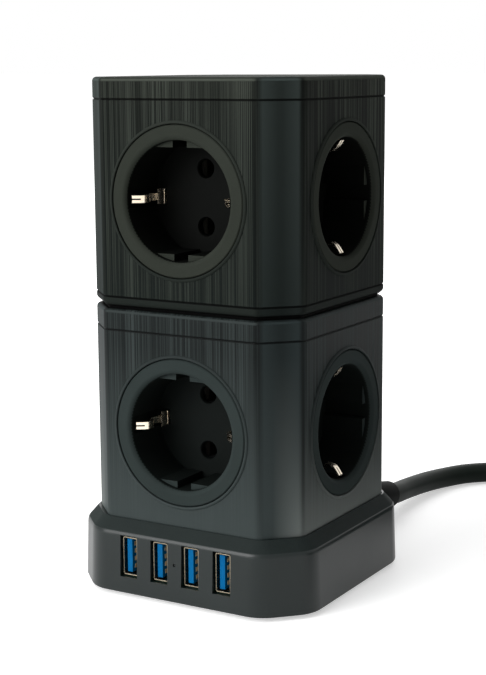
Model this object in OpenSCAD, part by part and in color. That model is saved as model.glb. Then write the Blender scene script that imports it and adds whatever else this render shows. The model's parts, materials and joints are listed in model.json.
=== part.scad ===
// Tower power strip: two tiers of earthed sockets on a wide base with four charging ports.
// Millimetres, +Z up. The origin is on the table, under the middle of the base.
// The charging ports face -Y, and the mains cord leaves the back wall, towards +Y.

/* [Tower] */
// Width of both tiers across their flat faces
body_w = 80; // [77:1:83]
// Length cut off each side at a vertical corner
corner_cut = 11; // [9:0.5:13]
// Rounding where a cut corner meets a face
corner_r = 4; // [2:0.5:5]
// Wall of the tier housings
body_wall = 2; // [1.6:0.1:2.4]
// Height of one tier's housing
tier_h = 64; // [61:1:70]
// Height of the band that closes a tier at its top
band_h = 7; // [6:0.5:9]
// Height of the plain ring under the upper tier
ring_h = 3.2; // [3:0.1:5]
// Height of the shadow gap between the tiers
tier_gap = 0.8; // [0.5:0.1:1.5]
// How far the shadow gap is set in from the faces
gap_inset = 2; // [1.2:0.1:2.4]
// Top plate of the bands and plate of the ring
plate_t = 2.2; // [1.6:0.1:3]
// Rounding of the top edge of a band
band_round = 1.4; // [0.6:0.1:2]
// Size of the fine seam between two housings
seam = 0.35; // [0.2:0.05:0.6]

/* [Base] */
// Width of the base at its foot
base_w = 90; // [88:1:96]
// Length cut off each side at a corner of the base
base_cut = 13; // [11:0.5:15]
// Rounding of the base's corners
base_r = 12; // [10:0.5:16]
// Height of the base, from its underside to the foot of the tower
base_h = 24.5; // [23:0.5:30]
// Height of the bevel between the wall and the tower
bevel_h = 3.4; // [3:0.1:5]
// How far the wall leans in over its height
base_draft = 0.6; // [0:0.1:1]
// Soft edge between the wall and the bevel
base_soft = 2; // [1:0.1:2.4]
// Wall of the base
base_wall = 2.2; // [1.8:0.1:2.6]
// Plate that closes the base from below
base_plate_t = 2.5; // [2:0.1:3]
// How deep the tower stands in the base's rim
seat_depth = 0.5; // [0.3:0.1:1]
// How far the rubber feet stand out below the base
foot_drop = 1.5; // [1:0.1:3]
// Diameter of a rubber foot
foot_d = 12; // [8:0.5:14]

/* [Sockets] */
// Radius of the recess that takes the plug
mouth_r = 19.3; // [19:0.1:19.8]
// Depth of the recess from its front ring
recess_depth = 18; // [17.5:0.1:18.5]
// Radius of the smooth ring round the recess
ring_r = 24.3; // [23:0.1:25]
// Gap between the ring and the hole in the housing
ring_gap = 0.3; // [0.2:0.05:0.5]
// Width of the raised lip on the housing round the ring
lip_w = 1; // [0.6:0.1:1.5]
// How far the lip stands out of the face
lip_h = 0.6; // [0.3:0.1:1]
// How far the ring stands out of the face
ring_proud = 0.4; // [0.2:0.1:0.6]
// Rounding of the recess's mouth
mouth_round = 1.8; // [1:0.1:2.2]
// Wall of the cup
cup_wall = 1.7; // [1.5:0.1:2]
// Floor of the cup
cup_floor = 2.2; // [1.8:0.1:2.6]
// Distance between the two pins of a plug
pin_pitch = 19; // [18:0.5:20]
// Diameter of the pin holes
pin_hole_d = 6; // [5.4:0.1:6.4]
// Distance between the flat ledges in the recess
ledge_apart = 34; // [33:0.5:35]
// How far the ledges lie behind the ring
ledge_set = 2.6; // [2:0.1:4]
// Width of the slot in the middle of a ledge
ledge_slot = 5.3; // [4:0.1:6]

/* [Contacts] */
// Sheet that the earth clips are bent from
clip_t = 0.8; // [0.6:0.1:1]
// Width of an earth clip at its root
clip_root_w = 5; // [4:0.1:5.4]
// Width of an earth clip at its tip
clip_tip_w = 2.4; // [2:0.1:3]
// Distance between the crests of the two earth clips of a socket
clip_apart = 29.4; // [28.5:0.1:30.5]
// Sheet that the pin contacts are bent from
leaf_t = 0.7; // [0.5:0.1:0.9]
// Free gap between the two leaves that grip a pin
leaf_gap = 4.4; // [4.3:0.1:4.6]
// Width of the contact leaves
leaf_w = 6; // [5:0.1:6.4]
// Height of the block that carries the contacts of a tier
carrier_h = 32; // [31:0.5:34]

/* [Charging ports] */
// Distance from one port to the next
port_pitch = 12; // [11:0.5:13]
// Height of a port's metal shell
shell_h = 13.1; // [12.5:0.1:13.5]
// Width of a port's metal shell
shell_w = 5.7; // [5.5:0.1:6]
// Length of a port's metal shell
shell_l = 14; // [12:0.5:16]
// Sheet of a port's metal shell
shell_t = 0.35; // [0.3:0.05:0.4]
// Gap between a shell and its window in the wall
window_gap = 0.5; // [0.3:0.1:0.8]
// How far a shell's mouth lies behind the foot of the wall
shell_set = 1.5; // [1.2:0.1:2]
// Height of the middle of the ports above the base's underside
port_h = 12.6; // [12:0.1:13.5]
// Thickness of the circuit board
board_t = 1.6; // [1:0.2:2]
// Diameter of the indicator hole
light_d = 1.1; // [0.8:0.1:1.6]

/* [Reset button] */
// Distance of the cord and the reset button from the middle of the back
rear_x = 17; // [16:0.5:17.5]
// Diameter of the reset button
button_d = 7; // [6:0.5:8]
// How far the reset button is pressed in
button_travel = 2.5; // [1.5:0.5:2.5]
// Diameter of the dish that the reset button lies in
dish_d = 16; // [15:0.5:17]

/* [Screws] */
// Diameter of all screws
screw_d = 3; // [2.6:0.1:3.2]
// How far the long screws reach into the band that they hold
screw_bite = 4; // [3:0.1:4.2]
// Length of the short screws
short_screw_l = 9; // [7:0.5:10]

/* [Cord] */
// Diameter of the mains cord
cord_d = 8.2; // [7:0.1:8.5]
// Diameter of the insulated wires inside
wire_d = 2.8; // [2:0.1:3]
// Radius of the stored coil at the middle of its turns
coil_r = 45; // [42:0.5:49]
// Number of turns in the stored coil
coil_turns = 6.29; // [5.29:1:7.29]
// Gap between turns of the coil that lie side by side
turn_gap = 0.6; // [0.5:0.1:1]
// Gap between layers of the coil
layer_gap = 0.55; // [0.5:0.05:1]
// Diameter of the plug
plug_d = 37; // [36:0.5:38]
// Length of the plug's body without its tapered tail
plug_l = 36; // [32:1:42]
// Length of the plug's pins
pin_l = 19; // [18:0.5:20]
// Diameter of the plug's pins
pin_d = 4.8; // [4.6:0.1:5]

/* [Hidden] */
SIDES = ["front", "right", "rear", "left"];

// Overrun of every cut, and overlap of shapes that are fused
over = 1;
fuse = 0.4;
// Small clearance between pieces that touch, and a looser one between pieces that are pushed together
fit = 0.1;
loose = 0.25;
round_fn = 64;
fine_fn = 32;
corner_steps = 6;
turn = 45;

// Heights of the stack, from the table up
base_z = foot_drop;
base_top = base_z + base_h;
lower_z = base_top - seat_depth;
band_z = lower_z + tier_h;
ring_z = band_z + band_h + tier_gap;
upper_z = ring_z + ring_h;
cap_z = upper_z + tier_h;
lower_mid = lower_z + tier_h / 2;
upper_mid = upper_z + tier_h / 2;
deck_t = 2.5;
deck_z = lower_z - deck_t;
room_h = base_h - bevel_h - base_wall;
base_slope = (base_w - body_w) / 2;
wall_in = base_w / 2 - base_wall - base_draft;

// Socket cups, measured from the plane of the face, outwards
hole_r = ring_r + ring_gap;
cup_r = mouth_r + cup_wall;
cup_bottom = ring_proud - recess_depth;
cup_back = cup_bottom - cup_floor;
cup_chamfer = 2.2;
flange_w = 2.5;
flange_t = 1.5;
core = body_w / 2 + cup_back;

// Screw posts in the corners: the lower tier's screws and the upper tier's take turns
post_r = 3.5;
post_near_inset = 14;
post_far_inset = 8;
post_near = body_w / 2 - post_near_inset;
post_far = body_w / 2 - post_far_inset;
screw_r = screw_d / 2;
bore_r = screw_r + loose;
pilot_r = screw_r + fit;
head_r = 2.7;
head_h = 2;
spigot_h = 2.4;
spigot_t = 1.2;
screw_sleeve = 4;
tier_screw_l = screw_sleeve + deck_t + tier_h + screw_bite;

// Risers of the wires, in the corners between the cups
riser_inset = 16;
riser = body_w / 2 - riser_inset;
riser_hole_r = 2.5;
wire_r = wire_d / 2;
wire_bend = 2.5;

// Contacts
carrier_cut = 5;
clip_half = clip_apart / 2;
tab_top = cup_r + fit;
tab_w = 3;
tab_x = 10.5;
link_gap = 1.4;
link_z = carrier_h / 2 + link_gap;
link_t = 0.8;
pin_x = pin_pitch / 2;
leaf_in = leaf_gap / 2;
leaf_out = leaf_in + leaf_t;
leaf_flare = 0.6;
leaf_end = core - over;
bridge_half = 3;
side_tab_x = 7;

// Charging ports
port_z = base_z + port_h;
shell_front = base_w / 2 - shell_set;
board_z = port_z - shell_h / 2 - board_t;
board_inset = 20;
board_half = base_w / 2 - board_inset;
board_l = 34;
board_rear = wall_in - fit - board_l;
standoff_r = 2;
tongue_t = 1.9;
tongue_set = 0.9;
tongue_x = -0.75;
tongue_gap = 0.55;
tongue_h = shell_h - 2 * (shell_t + tongue_gap);
contact_l = 9;
contact_w = 1.4;
contact_t = 0.15;

// Back wall
rear_h = 12;
rear_z = base_z + rear_h;
rear_wall = base_w / 2;
dish_depth = 4.6;
dish_floor = 2;
neck_r = 5.2;
nut_w = 1.6;
button_out = 3.6;
button_in = 9;
shoulder_w = 0.8;
shoulder_r = button_d / 2 + shoulder_w;
shoulder_t = 1.2;
protector_w = 14;
protector_h = 10;
protector_l = 12;
protector_y = rear_wall - dish_depth - dish_floor - protector_l;

// Cord
cord_r = cord_d / 2;
wall_groove = 0.15;
relief_wall = 2;
relief_tip_wall = 1.2;
relief_collar_w = 1.6;
relief_hole_r = cord_r + relief_wall;
relief_collar_r = relief_hole_r + relief_collar_w;
relief_end_r = cord_r + relief_tip_wall;
relief_collar_t = 2.4;
sheath_inset = 18;
sheath_end = rear_wall - sheath_inset;
clamp_inset = 14;
clamp_y = rear_wall - clamp_inset;
clamp_post_x = 8;
clamp_post_r = 3;
clamp_t = 2.4;
clamp_w = 8;
clamp_z = rear_z + cord_r;
foot_inset = 14;
feet_at = base_w / 2 - foot_inset;
foot_sink = 1;
base_screw_inset = 9;
base_screw_x = base_w / 2 - base_screw_inset;
base_screw_back = 25;
base_screw_y = base_w / 2 - base_screw_back;
base_screw_head_z = base_z + head_h;

// The way of the cord: out of the back wall, down to the table, and on in a wide bend to the coil
relief_route = [
    [rear_x, rear_wall + over / 2, rear_z], [17, 50, 13.4], [17, 56, 13], [17, 64, 12.1],
    [17.4, 73, 10.8], [17.2, 82, 9.2]
];
cord_route = [
    [17.2, 82, 9.2], [16.95, 90, 7.75], [16.1, 99, 6.7], [16, 108, 5.9], [16.4, 117, 5.2], [17.7, 126, 4.6],
    [20.2, 134.5, 4.2], [24.2, 142, 4.2], [29.6, 147.8, 4.2], [36.2, 152.6, 4.2], [44, 156.3, 4.2],
    [52.5, 158.8, 4.3], [62, 160, 4.5], [74, 160, 4.7], [87, 160, 5], [100, 160, 5]
];
cord_last = cord_route[len(cord_route) - 1];
coil_floor = cord_last.z;
layers = 4;
coil_steps = 24;
turn_pitch = cord_d + turn_gap;
layer_pitch = cord_d + layer_gap;
layer_turns = coil_turns / layers;
coil_out_r = coil_r + turn_pitch * layer_turns / 2;
coil_end_angle = 360 * (coil_turns - floor(coil_turns));
coil_x = 113;
coil_at = [coil_x, cord_last.y - coil_out_r];

// Plug
plug_r = plug_d / 2;
tail_l = 24;
tail_wall = 1;
tail_r = cord_r + tail_wall;
plug_run = 60;
plug_heading = [cos(coil_end_angle), -sin(coil_end_angle)];
plug_z = plug_r + fit;
coil_end_z = coil_floor + (layers - 1) * layer_pitch;

// Corner number k of a square with cut corners, counted from the right face's lower end
function corner(w, cut, k) =
    let(h = w / 2, c = h - cut)
    [[h, -c], [h, c], [c, h], [-c, h], [-h, c], [-h, -c], [-c, -h], [c, -h]][k];

// Outline of a square with cut corners, each bend rounded by r
function outline(w, cut, r) = [
    for (k = [0:7])
        let(
            middle = turn * k - turn / 2,
            centre = corner(w, cut, k) - r / cos(turn / 2) * [cos(middle), sin(middle)]
        )
        for (i = [0:corner_steps])
            let(a = middle - turn / 2 + turn * i / corner_steps)
            centre + r * [cos(a), sin(a)]
];

// The cut that keeps a wall's thickness the same on the cut corner
function inner_cut(cut, inset) = cut - inset * (2 - sqrt(2));
function inner_round(r, inset) = max(r - inset, r / 4);
function inset_outline(w, cut, r, inset) =
    outline(w - 2 * inset, inner_cut(cut, inset), inner_round(r, inset));

// Straight prism of such an outline
module prism(w, cut, r, inset, z, h)
    translate([0, 0, z]) linear_extrude(h) polygon(inset_outline(w, cut, r, inset));

// Solid through outlines at several heights; each level is [height, inset]
module stack(w, cut, r, levels) {
    n = 8 * (corner_steps + 1);
    m = len(levels);
    points = [for (l = levels) for (p = inset_outline(w, cut, r, l[1])) [p.x, p.y, l[0]]];
    faces = concat(
        [[for (i = [0:n - 1]) i]],
        [for (k = [0:m - 2]) for (i = [0:n - 1])
            [k * n + i, (k + 1) * n + i, (k + 1) * n + (i + 1) % n, k * n + (i + 1) % n]],
        [[for (i = [n - 1:-1:0]) (m - 1) * n + i]]
    );
    polyhedron(points, faces, convexity = 4);
}

// Tube of several radii along points; its rings turn as little as they can
function unit(v) = v / norm(v);
function tangents(p) = [
    for (i = [0:len(p) - 1]) unit(p[min(i + 1, len(p) - 1)] - p[max(i - 1, 0)])
];
function carried(ts, i, done) = i == len(ts) ? done :
    let(last = i == 0 ? (abs(ts[0].z) > 0.9 ? [1, 0, 0] : [0, 0, 1]) : done[i - 1])
    carried(ts, i + 1, concat(done, [unit(last - (last * ts[i]) * ts[i])]));
module tube(p, radii, sides) {
    n = len(p);
    ts = tangents(p);
    ns = carried(ts, 0, []);
    points = [
        for (i = [0:n - 1]) for (s = [0:sides - 1])
            let(a = 360 * s / sides, side = cross(ts[i], ns[i]))
            p[i] + (is_list(radii) ? radii[i] : radii) * (cos(a) * ns[i] + sin(a) * side)
    ];
    wall = [
        for (i = [0:n - 2]) for (s = [0:sides - 1])
            let(a = i * sides + s, b = i * sides + (s + 1) % sides)
            each [[a, b + sides, b], [a, a + sides, b + sides]]
    ];
    ends = [
        for (s = [1:sides - 2])
            each [[0, s, s + 1], [(n - 1) * sides, (n - 1) * sides + s + 1, (n - 1) * sides + s]]
    ];
    polyhedron(points, concat(wall, ends), convexity = 10);
}

// Smooth line through points, with a number of steps between each two
function spline(p, steps) = [
    for (i = [0:len(p) - 2]) for (s = [0:steps - (i == len(p) - 2 ? 0 : 1)])
        let(
            a = p[max(i - 1, 0)], b = p[i], c = p[i + 1], d = p[min(i + 2, len(p) - 1)],
            t = s / steps, t2 = t * t, t3 = t2 * t
        )
        (2 * b + (c - a) * t + (2 * a - 5 * b + 4 * c - d) * t2 + (3 * b - a - 3 * c + d) * t3) / 2
];
function run_length(p, i = 0, sum = 0) =
    i > len(p) - 2 ? sum : run_length(p, i + 1, sum + norm(p[i + 1] - p[i]));

// Strip of sheet along a flat path
function strip(p, t) =
    let(
        ts = tangents(p),
        left = [for (i = [0:len(p) - 1]) p[i] + t / 2 * [-ts[i].y, ts[i].x]],
        right = [for (i = [len(p) - 1:-1:0]) p[i] - t / 2 * [-ts[i].y, ts[i].x]]
    )
    concat(left, right);

// Rounded rectangle
function round_rect(w, h, r) = [
    for (k = [0:3]) for (i = [0:corner_steps])
        let(a = 90 * k + 90 * i / corner_steps, c = [[1, 1], [-1, 1], [-1, -1], [1, -1]][k])
        [c.x * (w / 2 - r) + r * cos(a), c.y * (h / 2 - r) + r * sin(a)]
];

// Puts children on a side of the tower: z points outwards from the face, y points up
module at_face(side, z)
    rotate([0, 0, 90 * side]) translate([0, -body_w / 2, z]) rotate([90, 0, 0]) children();

// Puts children at the four corner posts of a tier
module at_posts(x, y)
    for (sx = [-1, 1]) for (sy = [-1, 1]) translate([sx * x, sy * y, 0]) children();

// Pan head screw, its head's underside at zero and its shank upwards
module screw(l) {
    cross_w = head_h * 0.4;
    difference() {
        union() {
            translate([0, 0, -head_h]) cylinder(h = head_h, r1 = head_r * 0.85, r2 = head_r, $fn = fine_fn);
            translate([0, 0, -fuse]) cylinder(h = l + fuse, r = screw_r, $fn = fine_fn);
        }
        for (a = [0, 90])
            rotate([0, 0, a])
                translate([-head_r * 0.6, -cross_w / 2, -head_h - over])
                    cube([head_r * 1.2, cross_w, over + head_h / 2]);
    }
}

// Raised lip round a socket's hole, with a soft outer edge
module lip() {
    top = hole_r + seam / 2;
    points = concat(
        [[hole_r, -fuse], [hole_r, lip_h - seam / 2]],
        [for (a = [0:15:90]) [top + (lip_w - seam / 2) * sin(a), lip_h * cos(a)]],
        [[hole_r + lip_w, -fuse]]
    );
    rotate_extrude($fn = round_fn * 2) polygon(points);
}

// Housing of one tier: a thin shell with a round hole in each face and a screw post in each corner
module tier_body(z, x, y) {
    mid = z + tier_h / 2;
    difference() {
        union() {
            difference() {
                union() {
                    prism(body_w, corner_cut, corner_r, 0, z + seam, tier_h - 2 * seam);
                    prism(body_w, corner_cut, corner_r, seam, z, tier_h);
                }
                prism(body_w, corner_cut, corner_r, body_wall, z - over, tier_h + 2 * over);
            }
            for (side = [0:3]) at_face(side, mid) lip();
            intersection() {
                prism(body_w, corner_cut, corner_r, seam, z, tier_h);
                at_posts(x, y) translate([0, 0, z]) cylinder(h = tier_h, r = post_r, $fn = fine_fn);
            }
            intersection() {
                prism(body_w, corner_cut, corner_r, body_wall / 2, z, tier_h);
                for (sx = [-1, 1]) for (sy = [-1, 1])
                    translate([sx * x, sy * y, z])
                        rotate([0, 0, atan2(sy, sx)])
                            translate([post_r * 0.8, -body_wall / 2, 0])
                                cube([post_r * 2, body_wall, tier_h]);
            }
        }
        for (side = [0:3])
            at_face(side, mid)
                translate([0, 0, -body_wall - over])
                    cylinder(h = body_wall + 2 * over, r = hole_r, $fn = round_fn * 2);
        at_posts(x, y)
            translate([0, 0, z - over]) cylinder(h = tier_h + 2 * over, r = bore_r, $fn = fine_fn);
    }
}

// Low ring that reaches into the housing below or above and keeps the two in line
module spigot(z, h)
    difference() {
        prism(body_w, corner_cut, corner_r, body_wall + loose, z, h);
        prism(body_w, corner_cut, corner_r, body_wall + loose + spigot_t, z - over, h + 2 * over);
    }

// Room for the screw posts of a housing, and for their ribs
module post_room(z, h, x, y) {
    at_posts(x, y) translate([0, 0, z]) cylinder(h = h, r = post_r + loose, $fn = fine_fn);
    for (sx = [-1, 1]) for (sy = [-1, 1])
        translate([sx * x, sy * y, z])
            rotate([0, 0, atan2(sy, sx)])
                translate([0, -body_wall / 2 - loose, 0])
                    cube([post_r * 3, body_wall + 2 * loose, h]);
}

// Band that closes a tier: skirt, top plate, spigot and four bosses for the tier's screws
module band(z, x, y) {
    rounding = [for (a = [0:15:90]) [z + band_h - band_round * (1 - sin(a)), band_round * (1 - cos(a))]];
    under = z + band_h - plate_t;
    difference() {
        union() {
            difference() {
                stack(body_w, corner_cut, corner_r, concat([[z, seam], [z + seam, 0]], rounding));
                prism(body_w, corner_cut, corner_r, body_wall, z - over, band_h - plate_t + over);
            }
            difference() {
                spigot(z - spigot_h, band_h + spigot_h - plate_t + fuse);
                post_room(z - spigot_h - over, spigot_h + over + loose, x, y);
            }
            at_posts(x, y)
                translate([0, 0, z + fuse]) cylinder(h = under - z, r = post_r, $fn = fine_fn);
        }
        at_posts(x, y)
            translate([0, 0, z - over]) cylinder(h = over + under - z, r = pilot_r, $fn = fine_fn);
    }
}

// Socket cup: smooth ring, recess with its two ledges, pin holes and pockets for the earth clips
module socket_cup() {
    steps = 6;
    mouth = [
        for (i = [0:steps])
            let(a = 90 + 90 * i / steps)
            [mouth_r + mouth_round + mouth_round * cos(a), ring_proud - mouth_round + mouth_round * sin(a)]
    ];
    profile = concat(
        [[0, cup_back], [cup_r - cup_chamfer, cup_back], [cup_r, cup_back + cup_chamfer]],
        [[cup_r, -body_wall - flange_t], [hole_r + flange_w, -body_wall - flange_t]],
        [[hole_r + flange_w, -body_wall], [ring_r, -body_wall]],
        [[ring_r, ring_proud - seam], [ring_r - seam, ring_proud]],
        mouth,
        [[mouth_r, cup_bottom], [0, cup_bottom]]
    );
    ledge_front = ring_proud - ledge_set;
    clip_x = clip_half + clip_t * 2;
    difference() {
        union() {
            rotate_extrude($fn = round_fn * 2) polygon(profile);
            translate([0, 0, cup_bottom - fuse])
                linear_extrude(ledge_front - cup_bottom + fuse)
                    difference() {
                        circle(r = mouth_r + fuse, $fn = round_fn * 2);
                        square([2 * (mouth_r + over), ledge_apart], center = true);
                    }
        }
        for (s = [-1, 1]) {
            translate([0, s * pin_x, cup_back - over])
                cylinder(h = cup_floor + 2 * over, d = pin_hole_d, $fn = fine_fn);
            translate([0, s * pin_x, cup_bottom - seam])
                cylinder(h = seam + fit, d1 = pin_hole_d, d2 = pin_hole_d + 2 * seam, $fn = fine_fn);
            translate([-ledge_slot / 2, s > 0 ? ledge_apart / 2 - over : -mouth_r, cup_bottom])
                cube([ledge_slot, mouth_r - ledge_apart / 2 + over, recess_depth - mouth_round]);
            // hole in the floor and pocket in the wall for an earth clip
            translate([s * clip_x - clip_t - loose, -clip_root_w / 2 - loose, cup_back - over])
                cube([2 * (clip_t + loose), clip_root_w + 2 * loose, cup_floor + 2 * over]);
            rotate([0, 0, s > 0 ? 0 : 180])
                translate([mouth_r - over, -clip_root_w / 2 - 2 * loose, cup_bottom])
                    cube([cup_wall * 0.7 + over, clip_root_w + 4 * loose, recess_depth - mouth_round]);
        }
    }
}

// Earth clip: a strap behind the cup, bent forward through its floor into a sprung arm on each side
module earth_clip(side_socket) {
    strap_z = cup_back - fit - clip_t / 2;
    root = clip_half + clip_t * 2;
    wall = mouth_r - clip_t;
    depth = recess_depth;
    arm = spline([
        [root, cup_bottom - fuse], [root + clip_t / 2, cup_bottom + depth * 0.12],
        [wall - clip_t / 2, cup_bottom + depth * 0.3], [wall - clip_t / 2, cup_bottom + depth * 0.45],
        [clip_half + clip_t, cup_bottom + depth * 0.57], [clip_half + clip_t / 2, cup_bottom + depth * 0.67],
        [clip_half + clip_t * 1.6, cup_bottom + depth * 0.76], [wall, cup_bottom + depth * 0.86]
    ], 4);
    root_arm = [for (i = [0:5]) arm[i]];
    for (s = [0, 180]) rotate([0, 0, s]) {
        translate([root, 0, (strap_z + cup_bottom) / 2])
            cube([clip_t, clip_root_w, cup_bottom - strap_z + 2 * fuse], center = true);
        rotate([90, 0, 0])
            translate([0, 0, -clip_root_w / 2]) linear_extrude(clip_root_w) polygon(strip(root_arm, clip_t));
        difference() {
            rotate([90, 0, 0])
                translate([0, 0, -clip_tip_w / 2]) linear_extrude(clip_tip_w) polygon(strip(arm, clip_t));
            // slit in the tip
            translate([clip_half + clip_t * 1.6, -clip_tip_w / 10, cup_bottom + depth * 0.7])
                cube([mouth_r, clip_tip_w / 5, depth]);
        }
    }
    translate([0, 0, strap_z]) cube([2 * root + clip_t, clip_root_w, clip_t], center = true);
    // tab that the earth wire is soldered to
    if (side_socket)
        translate([root - clip_t, -tab_w / 2, strap_z - clip_t / 2])
            cube([tab_top - root + clip_t, tab_w, clip_t]);
    else
        translate([tab_x - tab_w / 2, 0, strap_z - clip_t / 2]) cube([tab_w, tab_top, clip_t]);
}

// Contact bar along y: two leaves at each end that grip a pin, joined by a bridge in the middle
module contact_bar() {
    near = leaf_end - 2 * leaf_flare;
    for (s = [0, 180]) rotate([0, 0, s]) for (m = [0, 1]) mirror([m, 0, 0])
        translate([0, 0, -leaf_w / 2]) linear_extrude(leaf_w)
            polygon([
                [leaf_in, bridge_half - fuse], [leaf_out, bridge_half - fuse], [leaf_out, near],
                [leaf_out + leaf_flare, leaf_end], [leaf_in + leaf_flare, leaf_end], [leaf_in, near]
            ]);
    translate([-leaf_out, -bridge_half, -leaf_w / 2]) cube([2 * leaf_out, 2 * bridge_half, leaf_w]);
}

// The contacts of one pole: a bar for the front and rear sockets, one for the sides, and the link on top
module pole_contacts() {
    side_y = pin_x + leaf_in;
    top = link_z + link_t;
    translate([0, 0, pin_x]) contact_bar();
    translate([0, pin_x, 0]) rotate([0, 0, 90]) contact_bar();
    translate([-tab_w / 2, -leaf_t, pin_x + leaf_w / 2 - fuse])
        cube([tab_w, 2 * leaf_t, top - pin_x - leaf_w / 2 + fuse]);
    translate([side_tab_x - tab_w / 2, side_y, leaf_w / 2 - fuse])
        cube([tab_w, leaf_t, top - leaf_w / 2 + fuse]);
    translate([0, 0, link_z]) linear_extrude(link_t)
        polygon([
            [-tab_w / 2, -tab_w / 2], [tab_w / 2, -tab_w / 2], [side_tab_x + tab_w / 2, side_y],
            [side_tab_x + tab_w / 2, side_y + leaf_t], [side_tab_x - tab_w / 2, side_y + leaf_t],
            [-tab_w / 2, tab_w / 2]
        ]);
}

// Room for the contacts of one pole in their carrier
module pole_space() {
    w = leaf_out + leaf_flare + loose;
    h = leaf_w / 2 + loose;
    top = carrier_h / 2 + over;
    translate([-w, -core - over, pin_x - h]) cube([2 * w, 2 * (core + over), 2 * h]);
    translate([-core - over, pin_x - w, -h]) cube([2 * (core + over), 2 * w, 2 * h]);
    translate([-tab_w / 2 - loose, -leaf_t - loose, pin_x])
        cube([tab_w + 2 * loose, 2 * (leaf_t + loose), top - pin_x]);
    translate([side_tab_x - tab_w / 2 - loose, pin_x + leaf_in - loose, 0])
        cube([tab_w + 2 * loose, leaf_t + 2 * loose, top]);
}

// Block that carries the contacts between the four cups
module carrier(mid) {
    strap_w = clip_root_w + 2 * loose;
    groove = clip_t + fit + loose;
    translate([0, 0, mid]) difference() {
        prism(2 * core, carrier_cut, corner_r / 4, 0, -carrier_h / 2, carrier_h);
        pole_space();
        rotate([180, 0, 0]) pole_space();
        for (s = [0, 180]) rotate([0, 0, s]) {
            translate([-core - over, -core - over, -strap_w / 2])
                cube([2 * (core + over), groove + over, strap_w]);
            translate([tab_x - tab_w / 2 - loose, -core - over, 0])
                cube([tab_w + 2 * loose, groove + over, carrier_h]);
            translate([core - groove, -strap_w / 2, -carrier_h])
                cube([groove + over, strap_w, 2 * carrier_h]);
        }
    }
}

// Puts children where the four base screws and the feet are
module at_base_screws() at_posts(base_screw_x, base_screw_y) children();

base_levels = let(
    top = base_top,
    edge = base_top - bevel_h,
    rim = (base_w - body_w) / 2 - loose - seam
) concat(
    [[base_z, base_draft / 2], [base_z + base_draft, 0]],
    [for (a = [0:20:60]) [edge - base_soft * (1 - sin(a)), base_draft + base_soft * (1 - cos(a)) / 2]],
    [[top - seam, rim - seam], [top, rim]]
);

module port_x(i) translate([(i - 2.5) * port_pitch, 0, 0]) children();

// Rear wall fittings lie along y: z of the child points out of the back
module at_rear(x) translate([x, rear_wall, rear_z]) rotate([-90, 0, 0]) children();

module base_housing() color([0.13, 0.135, 0.14]) {
    difference() {
        union() {
            difference() {
                stack(base_w, base_cut, base_r, base_levels);
                prism(base_w, base_cut, base_r, base_wall + base_draft, base_z - over, room_h + over);
                prism(base_w, base_cut, base_r, base_wall + base_slope, base_z, deck_z - base_z);
            }
            at_rear(-rear_x)
                translate([0, 0, -dish_depth - dish_floor])
                    cylinder(
                        h = dish_depth + dish_floor - base_wall, r = dish_d / 2 + base_wall, $fn = fine_fn
                    );
            at_posts(post_far, post_near)
                translate([0, 0, deck_z - screw_sleeve])
                    cylinder(h = screw_sleeve + fuse, r = post_r + fuse, $fn = fine_fn);
            at_base_screws()
                translate([0, 0, base_z + base_plate_t])
                    cylinder(h = deck_z + fuse - base_z - base_plate_t, r = post_r, $fn = fine_fn);
        }
        prism(body_w, corner_cut, corner_r, -loose, lower_z, base_h);
        at_posts(post_far, post_near)
            translate([0, 0, deck_z - screw_sleeve - over])
                cylinder(h = screw_sleeve + deck_t + 2 * over, r = bore_r, $fn = fine_fn);
        at_posts(riser, riser)
            translate([0, 0, deck_z - over])
                cylinder(h = deck_t + 2 * over, r = riser_hole_r, $fn = fine_fn);
        at_base_screws()
            translate([0, 0, base_z])
                cylinder(h = base_plate_t + short_screw_l, r = pilot_r, $fn = fine_fn);
        for (i = [1:4]) port_x(i)
            translate([-shell_w / 2 - window_gap, -base_w / 2 - over, port_z - shell_h / 2 - window_gap])
                cube([
                    shell_w + 2 * window_gap, base_wall + base_slope + 2 * over, shell_h + 2 * window_gap
                ]);
        translate([0, -base_w / 2 - over, port_z])
            rotate([-90, 0, 0]) cylinder(h = base_wall + base_draft + 2 * over, d = light_d, $fn = fine_fn);
        at_rear(rear_x) {
            translate([0, 0, -base_wall - base_draft - over])
                cylinder(h = base_wall + 3 * over, r = relief_hole_r + fit, $fn = round_fn);
            translate([0, 0, -base_wall - base_draft - relief_collar_t - loose])
                cylinder(h = relief_collar_t + loose, r = relief_collar_r + fit, $fn = round_fn);
        }
        at_rear(-rear_x) {
            translate([0, 0, -dish_depth]) cylinder(h = dish_depth + over, d = dish_d, $fn = fine_fn);
            translate([0, 0, -dish_depth - dish_floor - over])
                cylinder(h = dish_floor + 2 * over, r = neck_r + fit, $fn = round_fn);
        }
    }
}

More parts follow.
